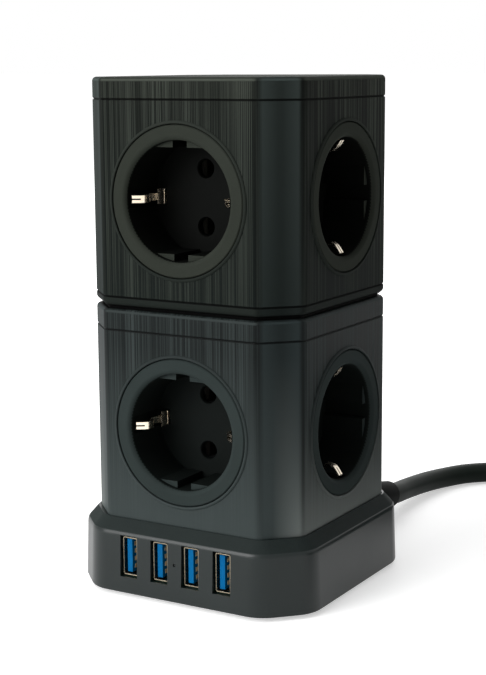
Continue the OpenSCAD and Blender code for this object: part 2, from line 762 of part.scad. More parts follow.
module base_plate() color([0.1, 0.1, 0.105]) {
    difference() {
        union() {
            prism(base_w, base_cut, base_r, base_wall + base_draft + loose, base_z, base_plate_t);
            for (sx = [-1, 1]) for (y = [-board_rear - standoff_r, -shell_front + shell_l + standoff_r])
                translate([sx * (board_half - post_r), y, base_z])
                    cylinder(h = board_z - base_z, r = standoff_r, $fn = fine_fn);
            translate([rear_x - clamp_post_x, clamp_y - clamp_w / 2, base_z])
                cube([2 * clamp_post_x, clamp_w, rear_z - cord_r - base_z]);
            for (s = [-1, 1])
                translate([rear_x + s * clamp_post_x, clamp_y, base_z])
                    cylinder(h = clamp_z - base_z, r = clamp_post_r, $fn = fine_fn);
        }
        for (s = [-1, 1])
            translate([rear_x + s * clamp_post_x, clamp_y, clamp_z + clamp_t - short_screw_l - fit])
                cylinder(h = short_screw_l, r = pilot_r, $fn = fine_fn);
        at_base_screws() {
            translate([0, 0, base_z - over])
                cylinder(h = base_plate_t + 2 * over, r = bore_r, $fn = fine_fn);
            translate([0, 0, base_z - over]) cylinder(h = head_h + over, r = head_r + loose, $fn = fine_fn);
        }
        at_posts(feet_at, feet_at)
            translate([0, 0, base_z - over])
                cylinder(h = foot_sink + over, d = foot_d + fit, $fn = fine_fn);
        // room for the dish of the reset button
        at_rear(-rear_x)
            translate([0, 0, -dish_depth - dish_floor - loose])
                cylinder(h = dish_depth + dish_floor + loose, r = dish_d / 2 + base_wall + loose, $fn = fine_fn);
    }
}

module rubber_feet() color([0.07, 0.07, 0.07])
    at_posts(feet_at, feet_at) {
        cylinder(h = seam, d1 = foot_d - 2 * seam, d2 = foot_d, $fn = fine_fn);
        translate([0, 0, seam]) cylinder(h = foot_drop + foot_sink - seam, d = foot_d, $fn = fine_fn);
    }

module short_screws() color([0.6, 0.6, 0.62]) {
    at_base_screws() translate([0, 0, base_screw_head_z]) screw(short_screw_l);
    for (s = [-1, 1])
        translate([rear_x + s * clamp_post_x, clamp_y, clamp_z + clamp_t])
            mirror([0, 0, 1]) screw(short_screw_l);
}

module tier_screws() color([0.6, 0.6, 0.62]) {
    at_posts(post_far, post_near) translate([0, 0, deck_z - screw_sleeve]) screw(tier_screw_l);
    at_posts(post_near, post_far) translate([0, 0, band_z + band_h - plate_t]) screw(tier_screw_l);
}

module usb_board() color([0.05, 0.3, 0.12])
    translate([-board_half, -wall_in + fit, board_z]) cube([2 * board_half, board_l, board_t]);

// On the board: a transformer with its core, two tall capacitors and a chip
module board_parts() color([0.75, 0.7, 0.2]) {
    top = board_z + board_t;
    part_h = 11;
    winding_w = 14;
    core_l = 18;
    core_w = 6;
    can_r = 4;
    chip_l = 8;
    chip_h = 2;
    x_shares = [-0.82, -0.32, 0.22, 0.56];
    translate([0, -board_rear - winding_w * 0.7, top]) {
        translate([x_shares[0] * board_half, 0, chip_h / 2]) cube([core_w, chip_l, chip_h], center = true);
        translate([x_shares[1] * board_half, 0, part_h / 2]) {
            cube([winding_w, winding_w, part_h], center = true);
            cube([core_l, core_w, part_h * 0.6], center = true);
        }
        for (k = [2, 3])
            translate([x_shares[k] * board_half, 0, 0]) cylinder(h = part_h, r = can_r, $fn = fine_fn);
    }
}

module indicator_light() color([0.5, 0.6, 0.65])
    translate([0, -base_w / 2 + base_wall + base_draft + fit, port_z]) rotate([-90, 0, 0]) {
        translate([0, 0, -base_wall * 0.75]) cylinder(h = base_wall, d = light_d - 2 * fit, $fn = fine_fn);
        cylinder(h = 3 * light_d, r = light_d, $fn = fine_fn);
        translate([-light_d, light_d / 2, 2 * light_d])
            cube([2 * light_d, port_z - light_d / 2 - board_z - board_t, light_d]);
    }

module usb_shell(i) color([0.82, 0.76, 0.66])
    port_x(i) translate([0, -shell_front, port_z]) rotate([-90, 0, 0]) {
        difference() {
            linear_extrude(shell_l)
                difference() {
                    polygon(round_rect(shell_w, shell_h, 2 * shell_t));
                    polygon(round_rect(shell_w - 2 * shell_t, shell_h - 2 * shell_t, shell_t));
                }
            // the two sprung tongues stamped into each side of the shell
            for (s = [-1, 1]) for (m = [-1, 1])
                translate([m * shell_w / 2 - shell_t, s * shell_h / 4 - shell_t, shell_l * 0.25])
                    cube([2 * shell_t, shell_t, shell_l * 0.35]);
        }
        translate([0, 0, shell_l - shell_t]) linear_extrude(shell_t)
            polygon(round_rect(shell_w, shell_h, 2 * shell_t));
    }

module usb_tongue(i) color([0.02, 0.35, 0.75])
    port_x(i)
        translate([tongue_x - tongue_t / 2, -shell_front + tongue_set, port_z - tongue_h / 2])
            cube([tongue_t, shell_l - shell_t - tongue_set, tongue_h]);

module usb_contacts() color([0.85, 0.7, 0.35])
    for (i = [1:4]) port_x(i)
        for (k = [-1.5:1:1.5])
            translate([
                tongue_x + tongue_t / 2, -shell_front + tongue_set + contact_w,
                port_z + k * tongue_h / 4.4 - contact_w / 2
            ])
                cube([contact_t, contact_l, contact_w]);

module cord_clamp() color([0.15, 0.15, 0.15])
    translate([rear_x, clamp_y, clamp_z]) difference() {
        translate([-clamp_post_x - clamp_post_r, -clamp_w / 2, 0])
            cube([2 * (clamp_post_x + clamp_post_r), clamp_w, clamp_t]);
        for (s = [-1, 1])
            translate([s * clamp_post_x, 0, -over])
                cylinder(h = clamp_t + 2 * over, r = bore_r, $fn = fine_fn);
    }

module cord_inside() color([0.12, 0.12, 0.12])
    translate([rear_x, sheath_end, rear_z]) rotate([-90, 0, 0])
        cylinder(
            h = rear_wall - base_wall - base_draft - relief_collar_t - sheath_end, r = cord_r, $fn = fine_fn
        );

module strain_relief() color([0.06, 0.06, 0.06]) {
    line = spline(relief_route, 2);
    n = len(line) - 1;
    inside = base_wall + base_draft;
    at_rear(rear_x) {
        translate([0, 0, -inside - relief_collar_t])
            cylinder(h = relief_collar_t, r = relief_collar_r, $fn = round_fn);
        translate([0, 0, -inside - fuse])
            cylinder(h = inside + fuse + over, r = relief_hole_r, $fn = round_fn);
    }
    tube(line, [for (i = [0:n]) relief_hole_r + (relief_end_r - relief_hole_r) * i / n], 16);
}

module overload_protector() color([0.1, 0.1, 0.1])
    at_rear(-rear_x) translate([0, 0, -dish_depth - dish_floor]) difference() {
        union() {
            translate([-protector_w / 2, -protector_h / 2, -protector_l])
                cube([protector_w, protector_h, protector_l]);
            translate([0, 0, -fuse])
                cylinder(h = dish_floor + 3 * shoulder_t / 2 + fuse, r = neck_r, $fn = round_fn);
        }
        translate([0, 0, -button_in - button_travel])
            cylinder(h = dish_depth + button_in + button_travel, r = button_d / 2 + fit, $fn = round_fn);
        translate([0, 0, -button_in - button_travel])
            cylinder(h = button_in + button_travel - dish_floor, r = shoulder_r + fit, $fn = round_fn);
    }

module protector_nut() color([0.6, 0.6, 0.62])
    at_rear(-rear_x) translate([0, 0, -dish_depth + fit / 2]) difference() {
        cylinder(h = shoulder_t, r = neck_r + nut_w, $fn = 6);
        translate([0, 0, -over]) cylinder(h = shoulder_t + 2 * over, r = neck_r + fit / 2, $fn = round_fn);
    }

module reset_button() color([0.55, 0.06, 0.05])
    at_rear(-rear_x) translate([0, 0, -dish_depth - dish_floor]) {
        translate([0, 0, -button_in + shoulder_t])
            cylinder(
                h = button_in + dish_floor + button_out - shoulder_t - seam, r = button_d / 2, $fn = round_fn
            );
        translate([0, 0, dish_floor + button_out - seam])
            cylinder(h = seam, r1 = button_d / 2, r2 = button_d / 2 - seam, $fn = round_fn);
        translate([0, 0, -dish_floor - shoulder_t]) cylinder(h = shoulder_t, r = shoulder_r, $fn = round_fn);
    }

// Wire along straight runs with rounded bends
function bent(p, r) = concat([p[0]], [
    for (i = [1:len(p) - 2])
        let(
            a = p[i] - r * unit(p[i] - p[i - 1]), c = p[i] + r * unit(p[i + 1] - p[i])
        )
        for (t = [0:0.25:1]) (1 - t) * (1 - t) * a + 2 * t * (1 - t) * p[i] + t * t * c
], [p[len(p) - 1]]);
module wire(p) tube(bent(p, wire_bend), wire_r, 8);

// Spots on a link where the wires of a pole come in and go on
link_end = [side_tab_x, pin_x + leaf_in + leaf_t / 2];
link_in = 0.25 * link_end;
link_on = 0.85 * link_end;
link_top = link_z + link_t + fit;
terminal_x = 3;

// The three cores where they leave the cord's sheath, and the heights at which the wires bend
core_out = cord_r - wire_r + fit;
function core_end(a, y) = [rear_x + core_out * cos(a), y, rear_z + core_out * sin(a)];
core_y = sheath_end - 2.5 * wire_d;
cross_y = sheath_end - 3.2 * wire_d;
lift = 2 * wire_d;
rise_z = deck_z - wire_r;
wire_step = 1.5 * wire_d;

// Live: cord to protector, protector to the lower contacts, lower to upper contacts
module live_wire() color([0.35, 0.2, 0.1]) {
    front = protector_y - fit;
    on = tier_h / 2;
    in = on - wire_step;
    wire([
        core_end(135, sheath_end - fit), core_end(135, core_y),
        [terminal_x - rear_x, cross_y, rear_z], [terminal_x - rear_x, front, rear_z]
    ]);
    wire([
        [-terminal_x - rear_x, front, rear_z], [-terminal_x - rear_x, cross_y, rear_z],
        [-riser, cross_y, rear_z + lift], [-riser, riser, rise_z], [-riser, riser, lower_mid + in],
        [link_in.x, link_in.y, lower_mid + in], [link_in.x, link_in.y, lower_mid + link_top]
    ]);
    wire([
        [link_on.x, link_on.y, lower_mid + link_top], [link_on.x, link_on.y, lower_mid + on],
        [-riser, riser, lower_mid + on], [-riser, riser, upper_mid + in],
        [link_in.x, link_in.y, upper_mid + in], [link_in.x, link_in.y, upper_mid + link_top]
    ]);
}

// Neutral: cord to the lower contacts, from there to the upper ones
module neutral_wire() color([0.1, 0.25, 0.6]) {
    in = wire_d - tier_h / 2;
    on = in + wire_step;
    wire([
        core_end(45, sheath_end - fit), core_end(45, core_y), [riser, cross_y, rear_z + lift],
        [riser, riser, rise_z], [riser, riser, lower_mid + in],
        [link_in.x, -link_in.y, lower_mid + in], [link_in.x, -link_in.y, lower_mid - link_top]
    ]);
    wire([
        [link_on.x, -link_on.y, lower_mid - link_top], [link_on.x, -link_on.y, lower_mid + on],
        [riser, riser, lower_mid + on], [riser, riser, upper_mid + in],
        [link_in.x, -link_in.y, upper_mid + in], [link_in.x, -link_in.y, upper_mid - link_top]
    ]);
}

// Earth: round each tier over the tabs of the four clips, the lower tier first
function earth_loop(z) = let(near = core - fit - clip_t / 2, wide = core * 0.75) [
    [riser, -riser, z], [near, 0, z], [wide, wide, z], [-tab_x, near, z], [-wide, wide, z],
    [-near, 0, z], [-wide, -wide, z], [tab_x - fuse, -near, z]
];
module earth_wire() color([0.25, 0.55, 0.15]) {
    near = core - fit - clip_t / 2;
    up = tab_top + wire_r + fit;
    start = tab_x + wire_r + fit;
    on = up + 1.8 * wire_d;
    wire(concat([
        core_end(270, sheath_end - fit), core_end(270, core_y),
        [riser, riser / 3, rear_z], [riser, -riser * 2 / 3, rear_z + wire_r], [riser, -riser, rise_z]
    ], earth_loop(lower_mid + up)));
    wire(concat([
        [start, -near, lower_mid + up - wire_r], [start, -near, lower_mid + on],
        [riser, -riser, lower_mid + on]
    ], earth_loop(upper_mid + up)));
}

module plastic() color([0.14, 0.145, 0.15]) children();

module lower_body() plastic() tier_body(lower_z, post_far, post_near);
module upper_body() plastic() tier_body(upper_z, post_near, post_far);

// The lower tier's band also takes the heads of the upper tier's screws and lets the wires through
module lower_band() plastic()
    difference() {
        band(band_z, post_far, post_near);
        at_posts(post_near, post_far)
            translate([0, 0, band_z + band_h - plate_t - over])
                cylinder(h = plate_t + 2 * over, r = bore_r, $fn = fine_fn);
        at_posts(riser, riser)
            translate([0, 0, band_z]) cylinder(h = band_h + over, r = riser_hole_r, $fn = fine_fn);
    }

module top_cap() plastic() band(cap_z, post_near, post_far);

// Plain ring under the upper tier: drawn-in lower edge, narrow neck in the shadow gap, spigot on top
module upper_ring() plastic()
    difference() {
        union() {
            stack(body_w, corner_cut, corner_r, [
                [ring_z, body_wall * 0.7], [ring_z + ring_h * 0.3, seam], [ring_z + ring_h * 0.5, 0],
                [upper_z - seam, 0], [upper_z, seam]
            ]);
            prism(body_w, corner_cut, corner_r, gap_inset, ring_z - tier_gap, tier_gap + fuse);
            difference() {
                spigot(upper_z - fuse, spigot_h + fuse);
                post_room(upper_z, spigot_h + over, post_near, post_far);
            }
        }
        at_posts(post_near, post_far)
            translate([0, 0, ring_z - tier_gap - over])
                cylinder(h = ring_h + tier_gap + 2 * over, r = bore_r, $fn = fine_fn);
        at_posts(riser, riser)
            translate([0, 0, ring_z - tier_gap - over])
                cylinder(h = ring_h + tier_gap + 2 * over, r = riser_hole_r, $fn = fine_fn);
    }

module socket(mid, side) color([0.17, 0.175, 0.18])
    at_face(side, mid) rotate([0, 0, side % 2 == 0 ? 0 : 90]) socket_cup();
module clip(mid, side) color([0.8, 0.75, 0.62])
    at_face(side, mid) rotate([0, 0, side % 2 == 0 ? 0 : 90]) earth_clip(side % 2 == 1);
module contacts(mid, flip) color([0.72, 0.6, 0.35])
    translate([0, 0, mid]) rotate([flip ? 180 : 0, 0, 0]) pole_contacts();

module lower_carrier() color([0.2, 0.2, 0.2]) carrier(lower_mid);
module upper_carrier() color([0.2, 0.2, 0.2]) carrier(upper_mid);

// Free stretch of the mains cord, from the strain relief to the coil
cord_line = spline(cord_route, 1);
module mains_cord() color([0.08, 0.08, 0.08]) tube(cord_line, cord_r, 12);

// Stored coil: the spiral runs in, out, in and out again, and climbs a layer where it turns back
function layer_share(t) = let(k = t / layer_turns) k - floor(k);
function coil_radius(t) =
    let(k = floor(min(t, coil_turns - fit / coil_r) / layer_turns), s = min(t, coil_turns) / layer_turns - k)
    coil_out_r - turn_pitch * layer_turns * (k % 2 == 0 ? s : 1 - s);
function coil_climb(t) = [
    for (k = [1:layers - 1])
        let(from = k * layer_turns - 0.25)
        t < from ? 0 : t > from + 0.5 ? 1 : (1 - cos(360 * (t - from))) / 2
];
function sum_of(v, i = 0) = i == len(v) ? 0 : v[i] + sum_of(v, i + 1);
function coil_point(t) =
    let(a = 360 * t, r = coil_radius(t))
    [coil_at.x + r * sin(a), coil_at.y + r * cos(a), coil_floor + layer_pitch * sum_of(coil_climb(t))];
coil_n = round(coil_turns * coil_steps);
coil_turns_line = [for (i = [0:coil_n]) coil_point(coil_turns * i / coil_n)];
coil_end = coil_turns_line[coil_n];
plug_neck = [coil_end.x + plug_run * plug_heading.x, coil_end.y + plug_run * plug_heading.y, plug_z];
coil_tail = [
    coil_end.x + cord_d * plug_heading.x, coil_end.y + cord_d * plug_heading.y, coil_end.z
];
coil_line = concat([cord_last], coil_turns_line, [coil_tail]);
module cord_coil() color([0.08, 0.08, 0.08]) tube(coil_line, cord_r, 6);

// Least gap of the coil to itself, between points at least half a turn apart
coil_gap = min([
    for (i = [0:coil_n - 1]) for (j = [i + coil_steps / 2:1:coil_n])
        norm(coil_turns_line[i] - coil_turns_line[j])
]) - cord_d;
echo(str("least gap of the coil to itself: ", coil_gap, " mm"));

plug_cord_line = let(
    a = coil_tail,
    b = plug_neck,
    straight = cord_r * [plug_heading.x, plug_heading.y, 0],
    from = a + straight,
    to = b - straight,
    n = 8
) concat([a], [
    for (i = [0:n])
        let(s = i / n, fall = (1 - cos(180 * s)) / 2)
        [from.x + (to.x - from.x) * s, from.y + (to.y - from.y) * s, from.z + (to.z - from.z) * fall]
], [b]);
module plug_cord() color([0.08, 0.08, 0.08]) tube(plug_cord_line, cord_r, 12);
echo(str("cord from strain relief to plug: ",
    run_length(cord_line) + run_length(coil_line) + run_length(plug_cord_line), " mm"));
echo(str("main stretch ", run_length(cord_line), ", plug stretch ", run_length(plug_cord_line)));

// Strap round the coil's turns, as wide as the turns are at its place
module coil_tie() color([0.12, 0.12, 0.12]) {
    share = 2 / 3;
    radii = [for (k = [0:floor(coil_turns) - 1]) coil_radius(share + k)];
    width = 9;
    thick = 0.7;
    inner_w = max(radii) - min(radii) + cord_d + 6 * fit;
    inner_h = (layers - 1) * layer_pitch + cord_d + 6 * fit;
    mid_z = coil_floor + (layers - 1) * layer_pitch / 2;
    translate([coil_at.x, coil_at.y, mid_z]) rotate([0, 0, 90 - 360 * share])
        translate([(max(radii) + min(radii)) / 2, width / 2, 0]) rotate([90, 0, 0]) linear_extrude(width)
            difference() {
                polygon(round_rect(inner_w + 2 * thick, inner_h + 2 * thick, cord_r));
                polygon(round_rect(inner_w, inner_h, cord_r - thick));
            }
}

// Puts children at the plug's face: z points along its pins
module at_plug()
    translate([
        plug_neck.x + (plug_l + tail_l) * plug_heading.x,
        plug_neck.y + (plug_l + tail_l) * plug_heading.y, plug_z
    ])
        rotate([0, 0, atan2(plug_heading.y, plug_heading.x)]) rotate([0, 90, 0]) children();

earth_hole_r = 2.6;
earth_hole_y = 10;
side_slot_w = 5.6;
side_slot_l = 17;
plug_flat = ledge_apart / 2 - loose;
contact_face = 16.3;

module plug_body() color([0.07, 0.07, 0.07])
    at_plug() difference() {
        intersection() {
            rotate_extrude($fn = round_fn) polygon(concat(
                [[0, 0], [plug_r - over, 0]],
                [for (a = [0:30:90]) [plug_r - over + over * sin(a), -over + over * cos(a)]],
                [[plug_r, -side_slot_l], [plug_r - over, -plug_l * 0.75], [plug_r * 0.62, -plug_l * 0.97]],
                [[tail_r + over, -plug_l], [tail_r, -plug_l - tail_l], [0, -plug_l - tail_l]]
            ));
            translate([-plug_r, -plug_r - over, -plug_l - tail_l])
                cube([2 * plug_r, 2 * (plug_r + over), plug_l + tail_l]);
        }
        for (s = [0, 180]) rotate([0, 0, s]) {
            // flat side with the groove that clears a socket's key
            translate([plug_flat, -plug_r, -side_slot_l]) cube([plug_r, 2 * plug_r, side_slot_l + over]);
            // slot of the earth contact
            translate([-side_slot_w / 2, contact_face, -side_slot_l])
                cube([side_slot_w, plug_r, side_slot_l + over]);
        }
        for (s = [-1, 1])
            translate([s * pin_x, 0, -pin_l]) cylinder(h = pin_l + over, d = pin_d, $fn = fine_fn);
        translate([0, earth_hole_y, -side_slot_l])
            cylinder(h = side_slot_l + over, r = earth_hole_r, $fn = fine_fn);
    }

module plug_pins() color([0.8, 0.8, 0.8])
    at_plug() for (s = [-1, 1]) translate([s * pin_x, 0, -pin_l]) {
        cylinder(h = 2 * pin_l - over, d = pin_d, $fn = fine_fn);
        translate([0, 0, 2 * pin_l - over]) cylinder(h = over, d1 = pin_d, d2 = pin_d - over, $fn = fine_fn);
    }

module plug_earth_contacts() color([0.8, 0.75, 0.62])
    at_plug() for (s = [0, 180]) rotate([0, 0, s])
        translate([-side_slot_w / 2 + loose, contact_face, -side_slot_l])
            cube([side_slot_w - 2 * loose, clip_t, side_slot_l - over]);

base_housing();
base_plate();
rubber_feet();
short_screws();
tier_screws();
usb_board();
board_parts();
indicator_light();
usb_contacts();
for (i = [1:4]) {
    usb_shell(i);
    usb_tongue(i);
}
cord_clamp();
cord_inside();
strain_relief();
overload_protector();
protector_nut();
reset_button();
live_wire();
neutral_wire();
earth_wire();
lower_body();
lower_band();
lower_carrier();
contacts(lower_mid, false);  // lower_live_contacts
contacts(lower_mid, true);  // lower_neutral_contacts
upper_ring();
upper_body();
top_cap();
upper_carrier();
contacts(upper_mid, false);  // upper_live_contacts
contacts(upper_mid, true);  // upper_neutral_contacts
for (side = [0:3]) {
    socket(lower_mid, side);
    socket(upper_mid, side);
    clip(lower_mid, side);
    clip(upper_mid, side);
}
mains_cord();
cord_coil();
plug_cord();
coil_tie();
plug_body();
plug_pins();
plug_earth_contacts();
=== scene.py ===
import bpy
import json
from math import sin, cos, pi, radians, floor
from mathutils import Vector, Matrix


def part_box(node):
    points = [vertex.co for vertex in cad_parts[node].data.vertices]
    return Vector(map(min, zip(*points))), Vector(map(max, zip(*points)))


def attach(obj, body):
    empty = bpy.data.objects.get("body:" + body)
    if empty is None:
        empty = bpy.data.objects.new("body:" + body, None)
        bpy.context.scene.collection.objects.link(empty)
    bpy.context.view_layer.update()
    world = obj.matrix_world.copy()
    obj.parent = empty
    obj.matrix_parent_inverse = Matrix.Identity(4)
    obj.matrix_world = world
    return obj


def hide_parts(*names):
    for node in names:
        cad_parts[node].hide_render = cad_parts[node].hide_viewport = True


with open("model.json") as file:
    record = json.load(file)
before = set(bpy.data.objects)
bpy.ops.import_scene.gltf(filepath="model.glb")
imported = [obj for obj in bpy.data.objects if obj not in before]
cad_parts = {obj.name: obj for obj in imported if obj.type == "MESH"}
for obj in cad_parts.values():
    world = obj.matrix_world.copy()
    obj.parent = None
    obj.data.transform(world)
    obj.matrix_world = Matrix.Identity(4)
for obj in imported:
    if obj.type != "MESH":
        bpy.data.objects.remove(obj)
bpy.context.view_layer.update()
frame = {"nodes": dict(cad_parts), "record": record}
cadNodes = frame["nodes"]
slotOf = {part["node"]: part["material_slot"] for part in frame["record"]["subparts"]}
bodyOf = {"reset_button": "button"}  # all the rest rides on the strip
mm = 0.001


# camera, at the photograph's place
cameraFacts = {
    "place": (0.2667, -0.4529, 0.1759),
    "forward": (-0.49903, 0.84885, -0.17442),
    "up": (-0.08275, 0.15368, 0.98465),
    "lens": 82.93,
    "sensor": 36,
}


def addCamera(facts):
    forward = Vector(facts["forward"]).normalized()
    right = forward.cross(Vector(facts["up"])).normalized()
    up = right.cross(forward)
    bpy.ops.object.camera_add()
    camera = bpy.context.object
    camera.name = "photoCamera"
    camera.data.lens = facts["lens"]
    camera.data.sensor_width = facts["sensor"]
    turn = Matrix((right, up, -forward)).transposed().to_4x4()
    camera.matrix_world = Matrix.Translation(facts["place"]) @ turn
    bpy.context.scene.camera = camera


addCamera(cameraFacts)
print("camera set")


# small helpers for modelling
def deselectAll():
    bpy.ops.object.select_all(action="DESELECT")


def selectOnly(obj):
    deselectAll()
    obj.select_set(True)
    bpy.context.view_layer.objects.active = obj


def applyAll(obj):
    selectOnly(obj)
    for modifier in list(obj.modifiers):
        bpy.ops.object.modifier_apply(modifier=modifier.name)


def smoothBy(obj, angle):
    selectOnly(obj)
    bpy.ops.object.shade_smooth_by_angle(angle=radians(angle))


def joinPieces(name, pieces):
    deselectAll()
    for piece in pieces:
        piece.select_set(True)
    bpy.context.view_layer.objects.active = pieces[0]
    bpy.ops.object.join()
    joined = bpy.context.object
    joined.name = name
    return joined


def settle(obj):
    # the place goes into the mesh, so the object itself sits at the origin
    selectOnly(obj)
    bpy.ops.object.transform_apply(location=True, rotation=True, scale=True)
    return obj


# small helpers for shader nodes
mixSockets = {"RGBA": (0, 6, 7, 2), "FLOAT": (0, 2, 3, 0)}  # factor, two inputs and result


def addNode(tree, kind, **values):
    node = tree.nodes.new(kind)
    for key, value in values.items():
        setattr(node, key, value)
    return node


def mathNode(tree, operation, a, b=0):
    node = addNode(tree, "ShaderNodeMath", operation=operation)
    for k, value in enumerate((a, b)):
        if isinstance(value, (int, float)):
            node.inputs[k].default_value = value
        else:
            tree.links.new(value, node.inputs[k])
    return node.outputs[0]


def sumsOf(tree, *operations):
    # short calls for the sums of one tree
    return [lambda a, b, kind=kind: mathNode(tree, kind, a, b) for kind in operations]


def noiseFrom(tree, coordinate, stretch, detail):
    mapping = addNode(tree, "ShaderNodeMapping")
    mapping.inputs["Scale"].default_value = stretch
    tree.links.new(coordinate, mapping.inputs["Vector"])
    noise = addNode(tree, "ShaderNodeTexNoise")
    noise.inputs["Scale"].default_value = 1
    noise.inputs["Detail"].default_value = detail
    tree.links.new(mapping.outputs["Vector"], noise.inputs["Vector"])
    return noise.outputs["Fac"]


def rampOf(tree, factor, fromLow, fromHigh, toLow=0, toHigh=1):
    ramp = addNode(tree, "ShaderNodeMapRange")
    ends = {"From Min": fromLow, "From Max": fromHigh, "To Min": toLow, "To Max": toHigh}
    for label, value in ends.items():
        ramp.inputs[label].default_value = value
    tree.links.new(factor, ramp.inputs["Value"])
    return ramp.outputs["Result"]


def mixNode(tree, kind, *sources):
    mix = addNode(tree, "ShaderNodeMix", data_type=kind)
    *places, result = mixSockets[kind]
    for place, source in zip(places, sources):
        tree.links.new(source, mix.inputs[place])
    return mix.outputs[result]


def mixColours(tree, factor, a, b):
    return mixNode(tree, "RGBA", factor, a, b)


def mixValues(tree, factor, a, b):
    return mixNode(tree, "FLOAT", factor, a, b)


# a shared effect takes named colours and values, and puts out what changes over the surface
def startGroup(name, colours, values):
    tree = bpy.data.node_groups.new(name, "ShaderNodeTree")
    for inOut, kind, labels in (
        ("INPUT", "NodeSocketColor", colours),
        ("INPUT", "NodeSocketFloat", values),
        ("OUTPUT", "NodeSocketColor", ["Colour"]),
        ("OUTPUT", "NodeSocketFloat", ["Roughness", "Height"]),
    ):
        for label in labels:
            tree.interface.new_socket(name=label, in_out=inOut, socket_type=kind)
    given = tree.nodes.new("NodeGroupInput").outputs
    results = tree.nodes.new("NodeGroupOutput").inputs
    return tree, given, results


def closeGroup(tree, results, **sources):
    for label, source in sources.items():
        tree.links.new(source, results[label.capitalize()])
    return tree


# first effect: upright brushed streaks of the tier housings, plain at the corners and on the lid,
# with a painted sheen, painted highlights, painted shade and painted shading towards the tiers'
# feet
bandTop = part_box("lower_band")[1].z
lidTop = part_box("top_cap")[1].z
streakFacts = {
    # stretch along the face, shift of the side faces and stretch upwards, then detail
    "wide": ((3200, 7, 5), 0),
    "fine": ((6500, 7, 16), 1),
    "patch": ((150, 7, 9), 2),
    "wideShare": 0.6,
    "fineShare": 0.4,
    "lineRise": (0.4, 0.62),
    "patchRise": (0.15, 0.65),
    # the side faces
    "sideStretch": 0.36,
    "evenShare": 0.4,
    "sideGain": 0.9,
    "sideRise": (-4 * mm, 11 * mm),
    # the cut corners and their bends, with a painted sheen towards the bends and painted shade on
    # them
    "cornerFade": (28.5 * mm, 30.5 * mm),
    "middleShare": 0.7,
    "bendRise": (1 * mm, 9 * mm),
    "bendPaintedSheen": 0.85,
    "bendReach": 29.3 * mm,
    "bendWidth": (1.2 * mm, 0),
    "bendShade": 0.75,
    # the lid, the lips round the sockets and the painted highlights on the rounded top edges
    "lidFade": (lidTop - 0.6 * mm, lidTop - 0.3 * mm),
    "proudRise": (40.04 * mm, 40.14 * mm),
    "lipRises": [(top - 1.5 * mm, top - 1.1 * mm) for top in (bandTop, lidTop)],
    "lipFall": (0.5 * mm, 0.6 * mm),
    "lipPaintedHighlight": 0.9,
    # the gap between the tiers, the drawn-in ring over it and the seams, with painted shade in the
    # gap and on the seams
    "gapFloor": (bandTop - 0.1 * mm, bandTop),
    "gapRoof": (bandTop + 1.2 * mm, bandTop + 1.5 * mm),
    "ringTop": (bandTop + 3.9 * mm, bandTop + 4.1 * mm),
    "ringShare": 0.5,
    "seamLevels": (bandTop - 7 * mm, bandTop + 4 * mm, lidTop - 7 * mm),
    "seamEdge": (0.45 * mm, 0.25 * mm),
    "seamShade": 0.8,
}


